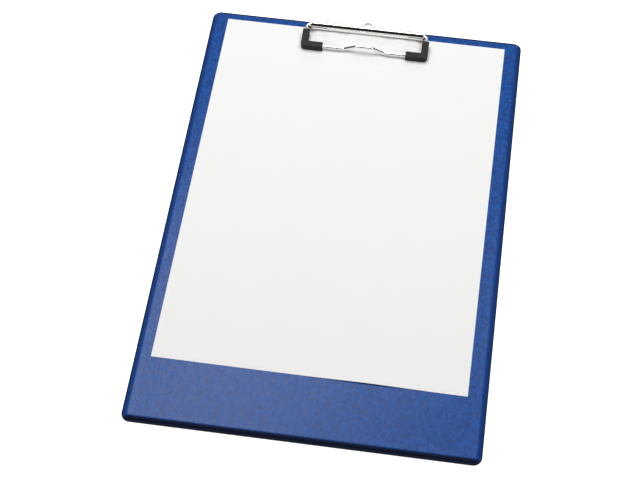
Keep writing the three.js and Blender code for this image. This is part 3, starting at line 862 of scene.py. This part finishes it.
def rivet(name, material):
    """Rivet with a domed head on the plate and a wide, flat one under the board."""
    node = f"rivet_{name}"
    low, high = box_mm(node)
    back_head = (high.x - low.x) / 2
    plate_top = box_mm("clip_plate")[0].z + PLATE_THICKNESS + RIVET_PLATE_GAP
    head = high.z - plate_top
    back_top = low.z + head + BACK_HEAD_EXTRA
    dome = [
        (RIVET_FRONT_HEAD * math.cos(angle), plate_top + head * math.sin(angle))
        for angle in map(math.radians, DOME_ANGLES)
    ]
    profile = [
        (back_head - BACK_HEAD_FLAT, low.z),
        (back_head - BACK_HEAD_EDGE, low.z + BACK_HEAD_RISE),
        (back_head, low.z + BACK_HEAD_EDGE),
        (back_head, back_top),
        (RIVET_SHANK, back_top),
        (RIVET_SHANK, plate_top),
        *dome,
    ]
    place = ((low.x + high.x) / 2, (low.y + high.y) / 2, 0)
    obj = to_object(f"{node}_steel", moved(turned(profile), place))
    return settle(obj, "board", "rivet_steel", material, node)


# ---- wire bail and sleeves --------------------------------------------------------


def arm_points(side):
    """Stub, rear corner and front corner of one side of the wire."""
    axis_y, axis_z = axis_yz()
    bar_y, bar_z = bar_yz()
    arm = clip_x() + side * BAIL_WIDTH / 2
    stub = clip_x() + side * STUB_END
    places = ((stub, axis_y, axis_z), (arm, axis_y, axis_z), (arm, bar_y, bar_z))
    return [Vector(place) for place in places]


def hump_points(side):
    """Foot and top of one side of the hump."""
    bar_y, bar_z = bar_yz()
    foot = clip_x() + side * HUMP_FOOT
    top = clip_x() + side * HUMP_TOP
    return [Vector((foot, bar_y, bar_z)), Vector((top, bar_y, bar_z + HUMP_RISE))]


def wire_bail(material):
    """One chromed wire from stub to stub, with a hump in the middle of its front bar."""
    left, right = (arm_points(side) + hump_points(side) for side in (-1, 1))
    bends = 2 * [WIRE_BEND] + 4 * [HUMP_BEND] + 2 * [WIRE_BEND]
    path = bent_path(left + right[::-1], bends)
    wire = to_object("wire_bail_chrome", swept(path, WIRE_RADIUS, end_round=WIRE_END_ROUND))
    return settle(wire, "bail", "chrome_wire", material, "wire_bail", sharp=50)


def sleeve(side, name, material):
    """Rubber sleeve round one front corner: square, with soft edges, and rising along the arm."""
    node = f"sleeve_{name}"
    low, high = box_mm(node)
    outer = high.x if side > 0 else low.x
    end = low.x if side > 0 else high.x
    inner = outer - side * SLEEVE_SIZE
    back = low.y + SLEEVE_SIZE
    centre = (outer - side * SLEEVE_CORNER, low.y + SLEEVE_CORNER)
    start, stop = (0, -90) if side > 0 else (180, 270)
    corner = arc(centre, SLEEVE_CORNER, start, stop, BEND_STEPS)
    outline = [(inner, high.y), (outer, high.y), *corner, (end, low.y), (end, back), (inner, back)]
    solid = prism(outline if side < 0 else outline[::-1], low.z, low.z + SLEEVE_HEIGHT)
    obj = bevel(to_object(f"{node}_rubber", solid), SLEEVE_EDGE, segments=4, angle=50)
    slope = (high.z - low.z - SLEEVE_HEIGHT) / (high.y - back)
    for vertex in obj.data.vertices:
        vertex.co.z += max(0.0, vertex.co.y - back * MM) * slope
    stub, corner_point, front = arm_points(side)
    bore = bent_path([stub, corner_point, front, hump_points(side)[0]], [WIRE_BEND, WIRE_BEND])
    combine(obj, "DIFFERENCE", to_object("bore", swept(bore, SLEEVE_BORE)))
    return settle(obj, "bail", "black_rubber", material, node, sharp=45)


# ---- springs and bushes -----------------------------------------------------------


def torsion_spring(side, name, material):
    """Open coil round the stub, with a short straight tail at each end."""
    node = f"torsion_spring_{name}"
    low, high = box_mm(node)
    axis_y, axis_z = axis_yz()
    radius = (high.y - low.y) / 2 - SPRING_WIRE
    start = (low.x if side > 0 else high.x) + side * SPRING_WIRE
    coil = [
        Vector((
            start + side * SPRING_PITCH * i / SPRING_STEPS,
            axis_y + radius * math.cos(2 * math.pi * i / SPRING_STEPS),
            axis_z + radius * math.sin(2 * math.pi * i / SPRING_STEPS),
        ))
        for i in range(SPRING_TURNS * SPRING_STEPS + 1)
    ]
    tail = Vector((0, 0, SPRING_TAIL))
    path = [coil[0] - tail, *coil, coil[-1] + tail]
    obj = to_object(f"{node}_steel", swept(path, SPRING_WIRE, sides=SPRING_SIDES))
    return settle(obj, "board", "spring_steel", material, node)


def barrel_bush(name, material):
    """Bush that closes one end of the barrel, with chamfered edges."""
    node = f"barrel_bush_{name}"
    low, high = box_mm(node)
    radius = (high.y - low.y) / 2
    half = (high.x - low.x) / 2
    c = BUSH_CHAMFER
    profile = [
        (BUSH_BORE + c, -half),
        (radius - c, -half),
        (radius, c - half),
        (radius, half - c),
        (radius - c, half),
        (BUSH_BORE + c, half),
        (BUSH_BORE, half - c),
        (BUSH_BORE, c - half),
        (BUSH_BORE + c, -half),
    ]
    ring = turned(profile)
    bmesh.ops.rotate(ring, matrix=Matrix.Rotation(math.pi / 2, 3, "Y"), verts=ring.verts)
    obj = to_object(f"{node}_nylon", moved(ring, (low + high) / 2))
    return settle(obj, "board", "bush_nylon", material, node)


# ---- paper ------------------------------------------------------------------------


def smooth(share):
    """Share from 0 to 1, with soft ends. Anything outside counts as 0 or 1."""
    share = min(max(share, 0.0), 1.0)
    return share * share * (3 - 2 * share)


def raised_areas():
    """Metal under the sheet: x range, y range, rise and the run over which the sheet climbs."""
    low, high = box_mm("clip_plate")
    axis_y = axis_yz()[0]
    far = box_mm("paper_sheet")[1].y
    plate = PLATE_THICKNESS + PAPER_LIFT
    head = box_mm("rivet_left")[1].z - low.z + PAPER_LIFT
    foot_x = about(clip_x(), PLATE_WIDTH / 2)
    guide_x = about(clip_x(), chamber_half() + GUIDE_WALL)
    guide_y = (low.y, axis_y - NECK_AHEAD + GUIDE_WALL)
    head_y = about(rivet_y(), RIVET_FRONT_HEAD)
    return [
        ((low.x, high.x), (axis_y - WIRE_RADIUS, far), plate, PLATE_RAMP),
        (foot_x, (axis_y - PLATE_REACH, far), plate, PLATE_RAMP),
        (guide_x, guide_y, plate + PLATE_THICKNESS, GUIDE_RAMP),
        *((about(x, RIVET_FRONT_HEAD), head_y, head, PLATE_RAMP) for x in rivet_xs()),
    ]


def sheet_lift(x, y, areas):
    """Height of the sheet's underside over the board, where it climbs over the metal."""
    lift = 0.0
    for (x0, x1), (y0, y1), rise, run in areas:
        aside = max(x0 - x, x - x1, 0.0)
        along = max(y0 - y, y - y1, 0.0)
        away = (math.hypot(aside, along) - PAPER_MARGIN) / run
        lift = max(lift, rise * (1 - smooth(away)))
    return lift


def sheet_bulge(x, y, lift, barrel_ends, axis_y, axis_height):
    """The sheet's lift, with the bulge in front of the barrel and the room left under it."""
    ahead = smooth((y - axis_y + BULGE_AHEAD) / BULGE_RUN + 1)
    aside = smooth(min(x - barrel_ends[0], barrel_ends[1] - x) / BULGE_RUN)
    lift += BULGE_RISE * ahead * aside
    reach = BARREL_RADIUS + BARREL_GAP
    if abs(y - axis_y) < reach:
        room = axis_height - math.sqrt(reach ** 2 - (y - axis_y) ** 2) - PAPER_THICKNESS
        lift = min(lift, room)
    return lift


def sheet_curl(share_x, share_y):
    """Slight lift of the free end, right of its middle."""
    run = max(1 - share_y / CURL_SHARE, 0.0)
    return CURL_HEIGHT * run * run * math.exp(-(((share_x - CURL_PLACE) / CURL_SPREAD) ** 2))


def sheet_wave(x, y, share_y):
    """Very low waves, that fade towards the free end."""
    across, along = WAVE_SPANS
    wave = noise.noise(Vector((x / across, y / along, WAVE_SLICE)))
    return WAVE_HEIGHT * (1 + wave) * min(1.0, share_y * WAVE_GROWTH)


def sheet_rows(near, far):
    """Places of the sheet's rows of points, from its free end to the clip."""
    places = [near]
    for from_far, rows in PAPER_ROWS:
        start, end = places[-1], far - from_far
        places += [start + (end - start) * (i + 1) / rows for i in range(rows)]
    return places


def join_sheet(bm, under, over):
    """Faces of a sheet's two sides and of its four narrow edges, from two grids of points."""
    last_row, last_column = len(under) - 1, len(under[0]) - 1
    for j in range(last_row):
        for i in range(last_column):
            bm.faces.new((over[j][i], over[j][i + 1], over[j + 1][i + 1], over[j + 1][i]))
            bm.faces.new((under[j][i], under[j + 1][i], under[j + 1][i + 1], under[j][i + 1]))
    edge = [(0, i) for i in range(last_column)]
    edge += [(j, last_column) for j in range(last_row)]
    edge += [(last_row, i) for i in range(last_column, 0, -1)]
    edge += [(j, 0) for j in range(last_row, 0, -1)]
    for (j, i), (k, m) in zip(edge, edge[1:] + edge[:1]):
        bm.faces.new((under[j][i], under[k][m], over[k][m], over[j][i]))


def paper_sheet(material):
    """One A4 sheet, thin and closed, that climbs over the clip's plate."""
    low, high = box_mm("paper_sheet")
    middle = (low + high) / 2
    turn = Matrix.Rotation(math.radians(PAPER_TURN), 3, "Z")
    areas = raised_areas()
    plate_low, plate_high = box_mm("clip_plate")
    axis_y, axis_z = axis_yz()
    barrel = ((plate_low.x, plate_high.x), axis_y, axis_z - low.z)
    wave_end = high.y - FAR_RUN - WAVE_GAP

    def underside(x, y):
        """Where a point of the sheet is, once it is turned and lies on the board."""
        share_x, share_y = (x - low.x) / (high.x - low.x), (y - low.y) / (high.y - low.y)
        spot = turn @ Vector((x - middle.x, y - middle.y, 0))
        px, py = spot.x + middle.x, spot.y + middle.y
        lift = sheet_bulge(px, py, sheet_lift(px, py, areas), *barrel)
        lift += sheet_curl(share_x, share_y)
        if py < wave_end:
            lift += sheet_wave(x, y, share_y)
        return px, py, low.z + lift

    width = high.x - low.x
    xs = [low.x + width * i / PAPER_COLUMNS for i in range(PAPER_COLUMNS + 1)]
    points = [[underside(x, y) for x in xs] for y in sheet_rows(low.y, high.y)]
    bm = bmesh.new()
    under, over = (
        [[bm.verts.new((x, y, z + thickness)) for x, y, z in row] for row in points]
        for thickness in (0.0, PAPER_THICKNESS)
    )
    join_sheet(bm, under, over)
    sheet = to_object("paper_a4", bm)
    return settle(sheet, "board", "white_paper", material, "paper_sheet", sharp=60)


# ---- studio -----------------------------------------------------------------------

AIM = (-8.254, -21.279, 3.0)
CAMERA_DISTANCE = 1142.79
CAMERA_AZIMUTH = 7.731  # from -Y towards +X
CAMERA_ELEVATION = 56.367
CAMERA_ROLL = 0.294
LENS = 92.93
SENSOR = 36
FLOOR_HALF = 6000
FLOOR_DROP = 0.3  # below the board's underside

# The studio's radiances are relative to white. Along the middle there are the far horizon,
# the wall, the dark room and the front. On both sides of it there are the lower wall and the
# ceiling, and beyond these the sides.
WARM_WHITE = (1.0, 0.99, 0.975)
HORIZON_RADIANCE = 0.75
WALL_RADIANCE = 1.15
CAMERA_RADIANCE = 0.012  # the dark room, over and behind the camera
FRONT_RADIANCE = 0.7
WALL_ASIDE_RADIANCE = 0.35
CEILING_RADIANCE = 0.92
SIDE_RADIANCE = 0.08
HORIZON_END = 34  # degrees, from the far horizon, 0, over the zenith to the near one, 180
WALL_END = 57
DARK_START = 92
DARK_END = 158
EDGE_SOFTNESS = 1.5
MIDDLE_HALF = 0.2  # half widths, as the sideways part of a direction
CEILING_HALF = 0.58
SIDE_SOFTNESS = 0.03

# Each light has its range in x, the (y, z) of its far edge and of its near edge, all in
# metres, and its radiance.
LIGHTS = {
    "rear_left": ((-0.37, -0.15), (0.744, 1.2), (0.50, 1.2), 15.5),
    "rear_middle": ((-0.15, -0.01), (0.744, 1.2), (0.50, 1.2), 12.0),
    "rear_right": ((-0.01, 0.06), (0.744, 1.2), (0.50, 1.2), 17.0),
    "left_softbox": ((-0.45, -0.19), (0.50, 1.2), (-0.05, 1.2), 10.0),
    "right_softbox": ((0.36, 0.66), (0.50, 1.2), (-0.05, 1.2), 7.5),
}


def camera():
    """Camera that looks down at the board from in front, at the photograph's angle."""
    azimuth, elevation = math.radians(CAMERA_AZIMUTH), math.radians(CAMERA_ELEVATION)
    outward = Vector((
        math.cos(elevation) * math.sin(azimuth),
        -math.cos(elevation) * math.cos(azimuth),
        math.sin(elevation),
    ))
    data = bpy.data.cameras.new("camera")
    data.lens = LENS
    data.sensor_width = SENSOR
    data.clip_start = 0.05
    data.clip_end = 50
    obj = bpy.data.objects.new("camera", data)
    bpy.context.scene.collection.objects.link(obj)
    turn = outward.to_track_quat("Z", "Y").to_matrix().to_4x4()
    roll = Matrix.Rotation(math.radians(CAMERA_ROLL), 4, "Z")
    place = (Vector(AIM) + outward * CAMERA_DISTANCE) * MM
    obj.matrix_world = Matrix.Translation(place) @ turn @ roll
    bpy.context.scene.camera = obj


def world():
    """Studio round the board: bright wall and ceiling, and dark over and behind the camera."""
    data = bpy.data.worlds.new("studio")
    bpy.context.scene.world = data
    data.use_nodes = True
    tree = data.node_tree
    add, link = tree.nodes.new, tree.links.new

    def calculate(operation, *values):
        """Result of a math node."""
        node = add("ShaderNodeMath")
        node.operation = operation
        for socket, value in zip(node.inputs, values):
            if isinstance(value, bpy.types.NodeSocket):
                link(value, socket)
            else:
                socket.default_value = value
        return node.outputs[0]

    def step(value, at, soft):
        """0 below a value and 1 above it, with a soft edge."""
        node = add("ShaderNodeMapRange")
        node.interpolation_type = "SMOOTHSTEP"
        link(value, node.inputs["Value"])
        node.inputs["From Min"].default_value = at - soft
        node.inputs["From Max"].default_value = at + soft
        return node.outputs[0]

    def mix(share, low, high):
        """low where share is 0, high where it is 1."""
        return calculate("MULTIPLY_ADD", share, calculate("SUBTRACT", high, low), low)

    axes = add("ShaderNodeSeparateXYZ")
    link(add("ShaderNodeTexCoord").outputs["Generated"], axes.inputs[0])
    x, y, z = axes.outputs
    overhead = calculate("ARCTAN2", z, y)  # 0 at the far horizon, pi at the near one
    soft = math.radians(EDGE_SOFTNESS)
    bounds = (HORIZON_END, WALL_END, DARK_START, DARK_END)
    past_horizon, past_wall, in_dark, past_dark = (
        step(overhead, math.radians(bound), soft) for bound in bounds
    )
    sideways = calculate("ABSOLUTE", x)
    aside = step(sideways, MIDDLE_HALF, SIDE_SOFTNESS)
    far_aside = step(sideways, CEILING_HALF, SIDE_SOFTNESS)
    wall = mix(past_horizon, HORIZON_RADIANCE, WALL_RADIANCE)
    middle = mix(past_dark, mix(in_dark, wall, CAMERA_RADIANCE), FRONT_RADIANCE)
    flank = mix(past_wall, WALL_ASIDE_RADIANCE, CEILING_RADIANCE)
    room = mix(far_aside, mix(aside, middle, flank), SIDE_RADIANCE)
    background = tree.nodes["Background"]
    background.inputs["Color"].default_value = colour(*WARM_WHITE)
    link(room, background.inputs["Strength"])


def flat_light(name, x_range, far_edge, near_edge, radiance):
    """Flat rectangular light between two edges that run along X, each given by its (y, z)."""
    far, near = Vector((0, *far_edge)), Vector((0, *near_edge))
    across, along = Vector((1, 0, 0)), (far - near).normalized()
    width, height = x_range[1] - x_range[0], (far - near).length
    data = bpy.data.lights.new(name, "AREA")
    data.shape = "RECTANGLE"
    data.size, data.size_y = width, height
    data.energy = radiance * math.pi * width * height
    obj = bpy.data.objects.new(name, data)
    bpy.context.scene.collection.objects.link(obj)
    outward = across.cross(along)
    turn = Matrix((across, along, outward)).transposed().to_4x4()
    centre = (far + near) / 2 + across * (x_range[0] + x_range[1]) / 2
    obj.matrix_world = Matrix.Translation(centre) @ turn


def floor():
    """Plain white floor, just under the board."""
    n = Nodes("floor_white")
    speck = n.noise(*FLOOR_SPECKS)
    n.shade(
        Base_Color=n.blend(speck, *FLOOR_TONES),
        Roughness=0.95,
    )
    n.shader.inputs["Specular IOR Level"].default_value = 0.0
    n.shader.inputs["Emission Color"].default_value = colour(1.0, 1.0, 1.0)
    n.shader.inputs["Emission Strength"].default_value = FLOOR_GLOW
    far = FLOOR_HALF
    bm = bmesh.new()
    corners = [(-far, -far), (far, -far), (far, far), (-far, far)]
    bm.faces.new([bm.verts.new((x, y, -FLOOR_DROP)) for x, y in corners])
    obj = to_object("floor", bm)
    obj.data.materials.append(n.material)


# ---- the scene --------------------------------------------------------------------


def main():
    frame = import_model()
    camera()
    world()
    for name, settings in LIGHTS.items():
        flat_light(name, *settings)
    floor()
    bpy.context.scene.view_settings.view_transform = "Standard"

    vinyl = vinyl_material()
    rivets = steel_material("rivet_steel", roughness=0.22, stretch=(1.0, 1.0, 1.0))
    springs = steel_material("spring_steel", roughness=0.25, stretch=(0.2, 1.0, 1.0))
    tab = steel_material("tab_steel", roughness=0.18, stretch=(1.0, 0.1, 1.0), tones=TAB_TONES)
    rubber = rubber_material()
    nylon = nylon_material()
    front_cover(vinyl)
    back_cover(vinyl)
    clip_plate(chrome_material("chrome_plate", roughness=0.05))
    hanging_tab(tab)
    wire_bail(chrome_material("chrome_wire", roughness=0.08))
    for side, name in ((-1, "left"), (1, "right")):
        rivet(name, rivets)
        sleeve(side, name, rubber)
        torsion_spring(side, name, springs)
        barrel_bush(name, nylon)
    paper_sheet(paper_material())
    core = frame["nodes"]["core_board"].data
    core.materials.clear()
    core.materials.append(greyboard_material())


main()
